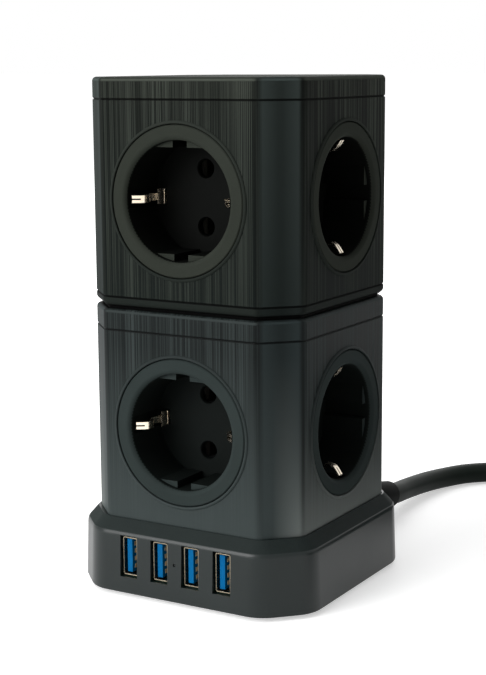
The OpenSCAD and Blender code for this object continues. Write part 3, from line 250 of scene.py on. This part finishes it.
def makeStreakGroup(facts):
    tree, given, results = startGroup(
        "uprightStreaksPaintedLight",
        ["Dark", "Light", "Corner Light", "Foot Painted Shading", "Side Foot Painted Shading", "Shade"],
        ["Smooth", "Rough", "Plain", "Foot", "Foot Level", "Foot Top", "Side Foot Power"],
    )
    add, less, times, most = sumsOf(tree, "ADD", "SUBTRACT", "MULTIPLY", "MAXIMUM")

    def rise(source, key):
        return rampOf(tree, source, *facts[key])

    def apart(a, b):
        return mathNode(tree, "ABSOLUTE", less(a, b))

    parts = addNode(tree, "ShaderNodeSeparateXYZ")
    place = addNode(tree, "ShaderNodeTexCoord").outputs["Object"]
    tree.links.new(place, parts.inputs["Vector"])
    x, y, height = (parts.outputs[axis] for axis in "XYZ")
    reachX, reachY = (mathNode(tree, "ABSOLUTE", way) for way in (x, y))
    # the streaks run straight over lips and seams: only the way along the face counts
    side = mathNode(tree, "GREATER_THAN", reachX, reachY)
    alongFace = mixValues(tree, side, x, times(y, facts["sideStretch"]))
    spot = addNode(tree, "ShaderNodeCombineXYZ")
    for axis, source in zip("XYZ", (alongFace, side, height)):
        tree.links.new(source, spot.inputs[axis])
    wide, fine, patch = (
        noiseFrom(tree, spot.outputs["Vector"], *facts[key]) for key in ("wide", "fine", "patch")
    )
    lines = add(times(wide, facts["wideShare"]), times(fine, facts["fineShare"]))
    evenly = times(rise(lines, "lineRise"), rise(patch, "patchRise"))
    # the streaks of the side faces are coarser and stronger
    excess = times(less(evenly, facts["evenShare"]), facts["sideGain"])
    brushed = add(evenly, times(excess, side))
    # the corners and the ring are plain, and a painted sheen makes the corners paler towards their
    # bends
    lesser = mathNode(tree, "MINIMUM", reachX, reachY)
    corner = rise(lesser, "cornerFade")
    gapFloor, gapRoof, ringTop = (rise(height, key) for key in ("gapFloor", "gapRoof", "ringTop"))
    ring = less(gapFloor, ringTop)
    paintedSheen = times(rise(apart(reachX, reachY), "bendRise"), facts["bendPaintedSheen"])
    plain = times(given["Plain"], add(paintedSheen, facts["middleShare"]))
    worn = mixValues(tree, corner, brushed, plain)
    worn = mixValues(tree, ring, worn, times(plain, facts["ringShare"]))
    # painted highlights on the rounded top edges, as if they caught the light
    for low, high in facts["lipRises"]:
        past = rampOf(tree, height, *(high + reach for reach in facts["lipFall"]))
        lip = less(rampOf(tree, height, low, high), past)
        worn = most(worn, times(lip, facts["lipPaintedHighlight"]))
    # the lid's top and the raised lips round the sockets are plain
    lid = rise(height, "lidFade")
    smooth = most(lid, rise(most(reachX, reachY), "proudRise"))
    worn = mixValues(tree, smooth, worn, given["Plain"])
    # painted shading: the tone changes slowly towards a tier's foot, darker on the upper tier as
    # painted shade, and paler on the lower tier, most on its side faces, as a painted reflection of
    # the floor
    below = less(given["Foot Top"], height)
    depth = less(given["Foot Top"], given["Foot Level"])
    fall = rampOf(tree, mathNode(tree, "DIVIDE", below, depth), 0, 1)
    sideFall = mathNode(tree, "POWER", fall, given["Side Foot Power"])
    sideways = rise(less(reachX, reachY), "sideRise")
    footShadingShare = times(given["Foot"], mixValues(tree, sideways, fall, sideFall))
    # painted shade: the bends are darkened, less so at the foot, and so are the seams and the gap
    bend = times(rise(apart(lesser, facts["bendReach"]), "bendWidth"), facts["bendShade"])
    shade = most(times(bend, less(1, most(lid, footShadingShare))), less(gapFloor, gapRoof))
    for level in facts["seamLevels"]:
        seam = times(rise(apart(height, level), "seamEdge"), facts["seamShade"])
        shade = most(shade, seam)
    light = mixColours(tree, corner, given["Light"], given["Corner Light"])
    streaked = mixColours(tree, worn, given["Dark"], light)
    footShading = mixColours(tree, sideways, given["Foot Painted Shading"], given["Side Foot Painted Shading"])
    surface = mixColours(tree, footShadingShare, streaked, footShading)
    return closeGroup(
        tree, results,
        colour=mixColours(tree, shade, surface, given["Shade"]),
        roughness=mixValues(tree, worn, given["Smooth"], given["Rough"]),
        height=times(brushed, less(1, most(most(corner, smooth), ring))),
    )


# second effect: fine grain and soft clouds of moulded plastic, rubber and sheet metal
grainFacts = {
    "Cloud": {"detail": 4, "rise": (0.3, 0.7), "share": 0.6},
    "Grain": {"detail": 2, "rise": (0.35, 0.65), "share": 0.4},
}


def makeGrainGroup(facts):
    tree, given, results = startGroup(
        "mouldGrain",
        ["Colour", "Second Colour"],
        ["Roughness", "Second Roughness", "Grain Scale", "Cloud Scale"],
    )
    add, times = sumsOf(tree, "ADD", "MULTIPLY")
    place = addNode(tree, "ShaderNodeTexCoord").outputs["Object"]

    def maskOf(kind):
        noise = addNode(tree, "ShaderNodeTexNoise")
        noise.inputs["Detail"].default_value = facts[kind]["detail"]
        tree.links.new(place, noise.inputs["Vector"])
        tree.links.new(given[kind + " Scale"], noise.inputs["Scale"])
        return rampOf(tree, noise.outputs["Fac"], *facts[kind]["rise"])

    cloud, grain = maskOf("Cloud"), maskOf("Grain")
    both = add(times(cloud, facts["Cloud"]["share"]), times(grain, facts["Grain"]["share"]))
    return closeGroup(
        tree, results,
        colour=mixColours(tree, both, given["Colour"], given["Second Colour"]),
        roughness=mixValues(tree, both, given["Roughness"], given["Second Roughness"]),
        height=grain,
    )


streakGroup = makeStreakGroup(streakFacts)
grainGroup = makeGrainGroup(grainFacts)


# finishes: each places one effect with its own values, and sets the rest on the shader itself
bumpDistance = 0.03 * mm
shaderSockets = {
    "specular": "Specular IOR Level",
    "metallic": "Metallic",
    "transmission": "Transmission Weight",
}


def finish(name, group, values, bump, **shaderValues):
    material = bpy.data.materials.new(name)
    material.use_nodes = True
    tree = material.node_tree
    shader = tree.nodes["Principled BSDF"]
    effect = addNode(tree, "ShaderNodeGroup", node_tree=group)
    for key, value in values.items():
        effect.inputs[key].default_value = value
    relief = addNode(tree, "ShaderNodeBump")
    relief.inputs["Strength"].default_value = bump
    relief.inputs["Distance"].default_value = bumpDistance
    tree.links.new(effect.outputs["Colour"], shader.inputs["Base Color"])
    tree.links.new(effect.outputs["Roughness"], shader.inputs["Roughness"])
    tree.links.new(effect.outputs["Height"], relief.inputs["Height"])
    tree.links.new(relief.outputs["Normal"], shader.inputs["Normal"])
    for key, value in shaderValues.items():
        shader.inputs[shaderSockets[key]].default_value = value
    return material


def streaky(name, values, bump, specular):
    return finish(name, streakGroup, values, bump, specular=specular)


def grained(name, colour, second, rough, secondRough, grain=2600, cloud=60, bump=0.15, **more):
    values = {
        "Colour": (*colour, 1), "Second Colour": (*second, 1),
        "Roughness": rough, "Second Roughness": secondRough,
        "Grain Scale": grain, "Cloud Scale": cloud,
    }
    return finish(name, grainGroup, values, bump, **more)


# the foot colours are painted shading: on the upper tier they darken its foot as painted shade
upperStreaks = {
    "Dark": (0.0035, 0.0044, 0.0036, 1), "Light": (0.0455, 0.0525, 0.044, 1),
    "Corner Light": (0.047, 0.06, 0.057, 1), "Shade": (0.001, 0.001, 0.001, 1),
    "Foot Painted Shading": (0.005, 0.0078, 0.0072, 1), "Side Foot Painted Shading": (0.009, 0.0115, 0.011, 1),
    "Smooth": 0.62, "Rough": 0.8, "Plain": 0.4,
    "Foot": 0.55, "Foot Level": 0.098, "Foot Top": 0.168, "Side Foot Power": 1,
}
lidStreaks = {
    **upperStreaks, "Dark": (0.005, 0.0062, 0.005, 1), "Light": (0.052, 0.059, 0.049, 1),
}
# the lower tier's copy of the housing finish: its fainter streaks stand for a painted sheen, and
# its pale foot colours are a painted reflection of the floor
lowerStreaks = {
    "Dark": (0.0026, 0.0044, 0.0042, 1), "Light": (0.0245, 0.0315, 0.0308, 1),
    "Corner Light": (0.0235, 0.032, 0.0325, 1), "Shade": (0.001, 0.001, 0.001, 1),
    "Foot Painted Shading": (0.04, 0.0505, 0.05, 1), "Side Foot Painted Shading": (0.2, 0.22, 0.21, 1),
    "Smooth": 0.5, "Rough": 0.62, "Plain": 0.52,
    "Foot": 0.9, "Foot Level": 0.02, "Foot Top": 0.085, "Side Foot Power": 3,
}
finishes = {
    "housing": streaky("brushedHousing", upperStreaks, bump=0.12, specular=0.03),
    "lidHousing": streaky("lidBrushedHousing", lidStreaks, bump=0.12, specular=0.03),
    "lowerHousing": streaky("fineBrushedHousing", lowerStreaks, bump=0.08, specular=0.07),
    "base": grained(
        "baseShell", (0.0035, 0.0072, 0.0068), (0.0055, 0.0102, 0.0097), 0.3, 0.38, specular=0.3
    ),
    # the bevel's copy of the base finish is grained and matte, and lighter as painted light
    "bevel": grained(
        "matteBevelPaintedLight", (0.0098, 0.0138, 0.0132), (0.0155, 0.0208, 0.02), 0.6, 0.75,
        grain=1800, bump=0.3, specular=0.08,
    ),
    "socket_plastic": grained(
        "socketRing", (0.0202, 0.0234, 0.0186), (0.0252, 0.0286, 0.0234), 0.65, 0.75,
        specular=0.025,
    ),
    "lowerSocket": grained(
        "lowerSocketRing", (0.0195, 0.0262, 0.0252), (0.025, 0.0325, 0.0315), 0.6, 0.7,
        specular=0.03,
    ),
    # the recess finishes are the socket's plastic darkened as painted shade, the lower tier's less
    # so
    "recess": grained(
        "recessPaintedShade", (0.0012, 0.0015, 0.0012), (0.002, 0.0024, 0.002), 0.55, 0.65,
        specular=0.04,
    ),
    "lowerRecess": grained(
        "lowerRecessPaintedShade", (0.0036, 0.005, 0.0046), (0.006, 0.0076, 0.007), 0.55, 0.65,
        specular=0.04,
    ),
    # the sleeve is a much darker copy of the cord's rubber, as painted shade
    "relief": grained(
        "reliefSleevePaintedShade", (0.0012, 0.0018, 0.0015), (0.0022, 0.003, 0.0026), 0.55, 0.65,
        specular=0.03,
    ),
    "black_plastic": grained(
        "plainBlack", (0.01, 0.01, 0.0105), (0.016, 0.016, 0.0165), 0.45, 0.55
    ),
    "feet": grained("footRubber", (0.009, 0.009, 0.009), (0.016, 0.016, 0.0155), 0.75, 0.9),
    "cord_rubber": grained(
        "cordSheath", (0.0108, 0.015, 0.0126), (0.016, 0.0208, 0.0178), 0.45, 0.55,
        cloud=120, specular=0.06,
    ),
    "zinc_steel": grained("zincSteel", (0.6, 0.61, 0.62), (0.7, 0.7, 0.72), 0.25, 0.4, metallic=1),
    "circuit_board": grained(
        "solderMask", (0.01, 0.13, 0.04), (0.02, 0.2, 0.07), 0.25, 0.4, cloud=300
    ),
    "board_parts": grained(
        "boardParts", (0.4, 0.28, 0.05), (0.55, 0.42, 0.1), 0.35, 0.5, cloud=250
    ),
    "light_guide": grained(
        "lightGuide", (0.75, 0.82, 0.86), (0.85, 0.9, 0.92), 0.1, 0.2, transmission=0.8
    ),
    "gilt_contacts": grained(
        "giltContacts", (0.8, 0.6, 0.34), (0.9, 0.72, 0.46), 0.25, 0.4, metallic=0.35
    ),
    # the port shells' metal is darkened as painted shade
    "usb_shell": grained(
        "portShell", (0.17, 0.145, 0.105), (0.36, 0.31, 0.23), 0.2, 0.32, cloud=400, metallic=1
    ),
    "usb_tongue": grained(
        "portTongue", (0.0, 0.085, 0.235), (0.0, 0.118, 0.3), 0.35, 0.45,
        bump=0.05, specular=0.06,
    ),
    "button_red": grained("resetRed", (0.32, 0.015, 0.012), (0.4, 0.025, 0.02), 0.3, 0.4),
    "wire_brown": grained("wireBrown", (0.11, 0.04, 0.02), (0.14, 0.055, 0.03), 0.35, 0.45),
    "wire_blue": grained("wireBlue", (0.01, 0.06, 0.3), (0.02, 0.09, 0.36), 0.35, 0.45),
    "wire_green": grained(
        "wireGreen", (0.06, 0.25, 0.03), (0.75, 0.62, 0.05), 0.35, 0.45, cloud=90
    ),
    # the contacts inside the pin holes are darkened as painted shade
    "contact_brass": grained(
        "contactMetalPaintedShade", (0.05, 0.048, 0.042), (0.09, 0.086, 0.076), 0.35, 0.5, metallic=1
    ),
    "clip_metal": grained(
        "clipMetal", (0.78, 0.68, 0.53), (0.88, 0.8, 0.67), 0.16, 0.3, metallic=1
    ),
    "plug_nickel": grained(
        "plugNickel", (0.74, 0.73, 0.7), (0.82, 0.81, 0.79), 0.15, 0.3, metallic=1
    ),
}
ownFinish = {
    "base_housing": "base",
    "lower_body": "lowerHousing",
    "lower_band": "lowerHousing",
    "top_cap": "lidHousing",
    "strain_relief": "relief",
}


def finishOf(nodeName):
    return finishes[ownFinish.get(nodeName, slotOf[nodeName])]


def finishPiece(obj, nodes):
    first = nodes[0]
    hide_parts(*nodes)
    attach(obj, bodyOf.get(first, "strip"))
    obj.data.materials.clear()
    obj.data.materials.append(finishOf(first))
    return obj


for nodeName, node in cadNodes.items():
    for materialSlot in node.material_slots:
        materialSlot.material = finishOf(nodeName)
    if not node.material_slots:
        node.data.materials.append(finishOf(nodeName))
print("finishes made:", len(finishes))


# the mains cord: from the back wall to the stored coil, through its turns and on to the plug
cordFacts = {  # in millimetres
    "diameter": 8.2,
    "exit": (17, 45, 13.5),
    "route": [
        (17, 47, 13.5), (17, 50, 13.4), (17, 56, 13), (17, 64, 12.1), (17.4, 73, 10.8),
        (17.2, 82, 9.2), (16.95, 90, 7.75), (16.1, 99, 6.7), (16, 108, 5.9), (16.4, 117, 5.2),
        (17.7, 126, 4.6), (20.2, 134.5, 4.2), (24.2, 142, 4.2), (29.6, 147.8, 4.2),
        (36.2, 152.6, 4.2), (44, 156.3, 4.2), (52.5, 158.8, 4.3), (62, 160, 4.5),
        (74, 160, 4.7), (87, 160, 5), (100, 160, 5),
    ],
    "routeSteps": 2,
    "coilMidX": 113,
    "coilRadius": 45,
    "turns": 6.29,
    "turnPitch": 8.8,
    "layers": 4,
    "layerPitch": 8.75,
    "climbTurns": 0.5,
    "stepsPerTurn": 36,
    "plugRun": 60,
    "plugMidZ": 18.6,
    "plugDepth": 6,
    "fallSteps": 12,
    "roundness": 6,
}


def eased(share):
    # a smooth climb from 0 to 1
    return (1 - cos(pi * min(max(share, 0), 1))) / 2


def coilPoint(facts, t):
    # the layers wind inwards and outwards in turn, and the cord climbs where one ends
    layerTurns = facts["turns"] / facts["layers"]
    layerWidth = facts["turnPitch"] * layerTurns
    outRadius = facts["coilRadius"] + layerWidth / 2
    layer = min(floor(t / layerTurns), facts["layers"] - 1)
    share = t / layerTurns - layer
    inward = share if layer % 2 == 0 else 1 - share
    radius = outRadius - layerWidth * inward
    climbStarts = [k * layerTurns - facts["climbTurns"] / 2 for k in range(1, facts["layers"])]
    climbed = sum(eased((t - start) / facts["climbTurns"]) for start in climbStarts)
    last = facts["route"][-1]
    return Vector((
        facts["coilMidX"] + radius * sin(2 * pi * t),
        last[1] - outRadius + radius * cos(2 * pi * t),
        last[2] + facts["layerPitch"] * climbed,
    ))


def smoothLine(points, steps):
    line = []
    for i in range(len(points) - 1):
        a, b, c, d = (points[min(max(k, 0), len(points) - 1)] for k in (i - 1, i, i + 1, i + 2))
        for s in range(steps):
            t = s / steps
            square = (2 * a - 5 * b + 4 * c - d) * t * t
            cube = (3 * b - a - 3 * c + d) * t ** 3
            line.append((2 * b + (c - a) * t + square + cube) / 2)
    return line + [points[-1]]


def cordPoints(facts):
    free = smoothLine([Vector(p) for p in facts["route"]], facts["routeSteps"])
    count = round(facts["turns"] * facts["stepsPerTurn"])
    coil = [coilPoint(facts, facts["turns"] * i / count) for i in range(count + 1)]
    endAngle = 2 * pi * (facts["turns"] - floor(facts["turns"]))
    heading = Vector((cos(endAngle), -sin(endAngle), 0))
    tailStart = coil[-1] + facts["diameter"] * heading
    neck = coil[-1] + facts["plugRun"] * heading
    neck.z = facts["plugMidZ"]
    straight = facts["diameter"] / 2 * heading
    fallStart, fallEnd = tailStart + straight, neck - straight
    fall = []
    for i in range(facts["fallSteps"] + 1):
        share = i / facts["fallSteps"]
        spot = fallStart.lerp(fallEnd, share)
        spot.z = fallStart.z + (fallEnd.z - fallStart.z) * eased(share)
        fall.append(spot)
    insidePlug = neck + facts["plugDepth"] * heading
    return free + coil + [tailStart] + fall + [neck, insidePlug]


def addCurve(name, points, radii, roundness):
    data = bpy.data.curves.new(name, "CURVE")
    data.dimensions = "3D"
    data.bevel_depth = 1  # each point's own radius then counts in metres
    data.bevel_resolution = roundness
    data.use_fill_caps = True
    spline = data.splines.new("POLY")
    spline.points.add(len(points) - 1)
    for point, place, radius in zip(spline.points, points, radii):
        point.co = (*(place * mm), 1)
        point.radius = radius * mm
    spline.use_smooth = True
    obj = bpy.data.objects.new(name, data)
    bpy.context.collection.objects.link(obj)
    return obj


cordLine = cordPoints(cordFacts)
cordRadii = [cordFacts["diameter"] / 2] * len(cordLine)
mainsCord = addCurve("mainsCord", cordLine, cordRadii, cordFacts["roundness"])
finishPiece(mainsCord, ["mains_cord", "cord_coil", "plug_cord"])


# strain relief: smooth and tapered round the cord, with its collar inside the wall
reliefFacts = {  # in millimetres and degrees
    "route": [(17, 44.9, 13.5), *cordFacts["route"][1:6]],  # it lies round the cord's own points
    "routeSteps": 12,
    "startRadius": 6.1,
    "endRadius": 5.3,
    "collarRadius": 7.7,
    "collarDepth": 2.4,
    "roundness": 8,
    "vertices": 64,
    "smoothAngle": 50,
}


def addReliefRound(facts, radius, start, end):
    # a round length between two places along the cord's way out
    exitX, exitZ = (cordFacts["exit"][k] * mm for k in (0, 2))
    deselectAll()
    bpy.ops.mesh.primitive_cylinder_add(
        vertices=facts["vertices"], radius=radius * mm, depth=end - start,
        location=(exitX, (start + end) / 2, exitZ), rotation=(pi / 2, 0, 0),
    )
    return settle(bpy.context.object)


def makeRelief(facts):
    line = smoothLine([Vector(p) for p in facts["route"]], facts["routeSteps"])
    startRadius, endRadius = facts["startRadius"], facts["endRadius"]
    count = len(line) - 1
    radii = [startRadius + (endRadius - startRadius) * i / count for i in range(count + 1)]
    sleeve = addCurve("strainRelief", line, radii, facts["roundness"])
    selectOnly(sleeve)
    bpy.ops.object.convert(target="MESH")
    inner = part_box("strain_relief")[0].y
    collar = addReliefRound(
        facts, facts["collarRadius"], inner, inner + facts["collarDepth"] * mm
    )
    stub = addReliefRound(facts, startRadius, inner, cordFacts["exit"][1] * mm)
    relief = joinPieces("strainRelief", [sleeve, collar, stub])
    smoothBy(relief, facts["smoothAngle"])
    return relief


strainRelief = finishPiece(makeRelief(reliefFacts), ["strain_relief"])
print("strain relief made")


# copies of the hard pieces with their edges softened, as a mould leaves them
def perSocket(ending):
    sides = ("front", "right", "rear", "left")
    return [tier + side + ending for tier in ("lower_", "upper_") for side in sides]


softFacts = {  # "soft" and the planes are in millimetres
    "housings": {
        "nodes": ["lower_body", "upper_body", "lower_band", "upper_ring", "top_cap"],
        "soft": 0.12,
    },
    "base": {"nodes": ["base_housing"], "soft": 0.15, "bevelLean": (0.55, 0.99)},
    "sockets": {
        "nodes": perSocket("_socket"),
        "soft": 0.15,
        "ringPlane": 39.3,
        "ledgePlane": (37.6, 38),
        "outward": 0.95,
    },
    "clips": {"nodes": perSocket("_earth_clip"), "soft": 0.06},
    "ports": {"nodes": ["usb_shell_%d" % i for i in (1, 2, 3, 4)], "soft": 0.05},
    "plug": {"nodes": ["plug_body"], "soft": 0.4},
    "tie": {"nodes": ["coil_tie"], "soft": 0.15},
}
edgeFacts = {  # in millimetres and degrees
    "weld": 0.002,
    "flatAngle": 0.6,
    "edgeAngle": 32,
    "segments": 2,
    "smoothAngle": 60,
}


def softCopy(nodeName, width, facts):
    piece = bpy.data.objects.new(nodeName + "_soft", cadNodes[nodeName].data.copy())
    bpy.context.collection.objects.link(piece)
    selectOnly(piece)
    bpy.ops.object.mode_set(mode="EDIT")
    bpy.ops.mesh.select_all(action="SELECT")
    bpy.ops.mesh.remove_doubles(threshold=facts["weld"] * mm)
    bpy.ops.mesh.dissolve_limited(angle_limit=radians(facts["flatAngle"]))
    bpy.ops.object.mode_set(mode="OBJECT")
    edge = piece.modifiers.new("softEdge", "BEVEL")
    edge.width = width * mm
    edge.segments = facts["segments"]
    edge.limit_method = "ANGLE"
    edge.angle_limit = radians(facts["edgeAngle"])
    edge.use_clamp_overlap = True
    even = piece.modifiers.new("evenShade", "WEIGHTED_NORMAL")
    even.keep_sharp = True
    smoothBy(piece, facts["smoothAngle"])
    applyAll(piece)
    return piece


def finishSocket(piece, facts, lowerTier):
    # the ring and the ledges' fronts take the ring's finish, and the rest behind the mouth is
    # darkened as painted shade, the lower tier's less so
    if lowerTier:
        piece.data.materials[0] = finishes["lowerSocket"]
    piece.data.materials.append(finishes["lowerRecess" if lowerTier else "recess"])
    nearLedge, farLedge = (reach * mm for reach in facts["ledgePlane"])
    for face in piece.data.polygons:
        reach = max(abs(face.center.x), abs(face.center.y))
        faceOn = max(abs(face.normal.x), abs(face.normal.y)) > facts["outward"]
        ledge = faceOn and nearLedge < reach < farLedge
        face.material_index = 0 if ledge or reach > facts["ringPlane"] * mm else 1


def finishBase(piece, facts):
    # the bevel is grained and matte, and its lighter colour is painted light on the upward faces;
    # the walls below it are smooth
    piece.data.materials.append(finishes["bevel"])
    low, high = facts["bevelLean"]
    for face in piece.data.polygons:
        face.material_index = 1 if low < face.normal.z < high else 0


for groupName, facts in softFacts.items():
    for nodeName in facts["nodes"]:
        piece = finishPiece(softCopy(nodeName, facts["soft"], edgeFacts), [nodeName])
        if groupName == "sockets":
            finishSocket(piece, facts, nodeName.startswith("lower"))
        if groupName == "base":
            finishBase(piece, facts)
    print("softened:", groupName, len(facts["nodes"]))


# floor, light and backdrop
studioFacts = {
    "floor": 40,
    "floorColour": 0.9,
    "floorRoughness": 0.9,
    "nearFloor": 0.5,
    "farFloor": 0.74,
    "fadeFrom": 0.12,
    "fadeTo": 0.7,
    "worldLight": 0.28,
    "lampAim": (0, 0, 0.09),
    "lamps": [
        # name, place, size, watts
        ("leftSoftbox", (-0.7, -1.6, 0.75), (1.2, 1.2), 34),
        ("topSoftbox", (-0.4, -0.3, 1.3), (1.0, 1.0), 9),
        ("backSoftbox", (-0.6, 1.7, 1.0), (1.2, 1.2), 9),
    ],
}
white = (1, 1, 1, 1)


def seenOrMirrored(tree):
    # rays that meet the backdrop straight, in a reflection or through something clear
    path = tree.nodes.new("ShaderNodeLightPath")
    either = mathNode(tree, "MAXIMUM", path.outputs["Is Camera Ray"], path.outputs["Is Glossy Ray"])
    return mathNode(tree, "MAXIMUM", either, path.outputs["Is Transmission Ray"])


def paleFloor(facts):
    # white seen from above, a little less so close to the object, where its shadow lies
    material = bpy.data.materials.new("paleFloor")
    material.use_nodes = True
    tree = material.node_tree
    shader = tree.nodes["Principled BSDF"]
    grey = facts["floorColour"]
    shader.inputs["Base Color"].default_value = (grey, grey, grey, 1)
    shader.inputs["Roughness"].default_value = facts["floorRoughness"]
    shader.inputs["Emission Color"].default_value = white
    place = tree.nodes.new("ShaderNodeTexCoord").outputs["Object"]
    distance = addNode(tree, "ShaderNodeVectorMath", operation="LENGTH")
    tree.links.new(place, distance.inputs[0])
    fade = rampOf(
        tree, distance.outputs["Value"],
        facts["fadeFrom"], facts["fadeTo"], facts["nearFloor"], facts["farFloor"],
    )
    glow = mathNode(tree, "MULTIPLY", seenOrMirrored(tree), fade)
    tree.links.new(glow, shader.inputs["Emission Strength"])
    return material


def makeStudio(facts):
    deselectAll()
    bpy.ops.mesh.primitive_plane_add(size=facts["floor"])
    floorPlane = bpy.context.object
    floorPlane.name = "studioFloor"
    floorPlane.data.materials.append(paleFloor(facts))
    world = bpy.data.worlds.new("studioWorld")
    bpy.context.scene.world = world
    world.use_nodes = True
    tree = world.node_tree
    background = tree.nodes["Background"]
    background.inputs["Color"].default_value = white
    extra = mathNode(tree, "MULTIPLY", seenOrMirrored(tree), 1 - facts["worldLight"])
    strength = mathNode(tree, "ADD", extra, facts["worldLight"])
    tree.links.new(strength, background.inputs["Strength"])
    for name, place, size, watts in facts["lamps"]:
        bpy.ops.object.light_add(type="AREA", location=place)
        lamp = bpy.context.object
        lamp.name = name
        lamp.data.shape = "RECTANGLE"
        lamp.data.size, lamp.data.size_y = size
        lamp.data.energy = watts
        aim = Vector(facts["lampAim"]) - Vector(place)
        lamp.rotation_euler = aim.to_track_quat("-Z", "Y").to_euler()


makeStudio(studioFacts)
bpy.context.scene.view_settings.view_transform = "Standard"
print("studio made")
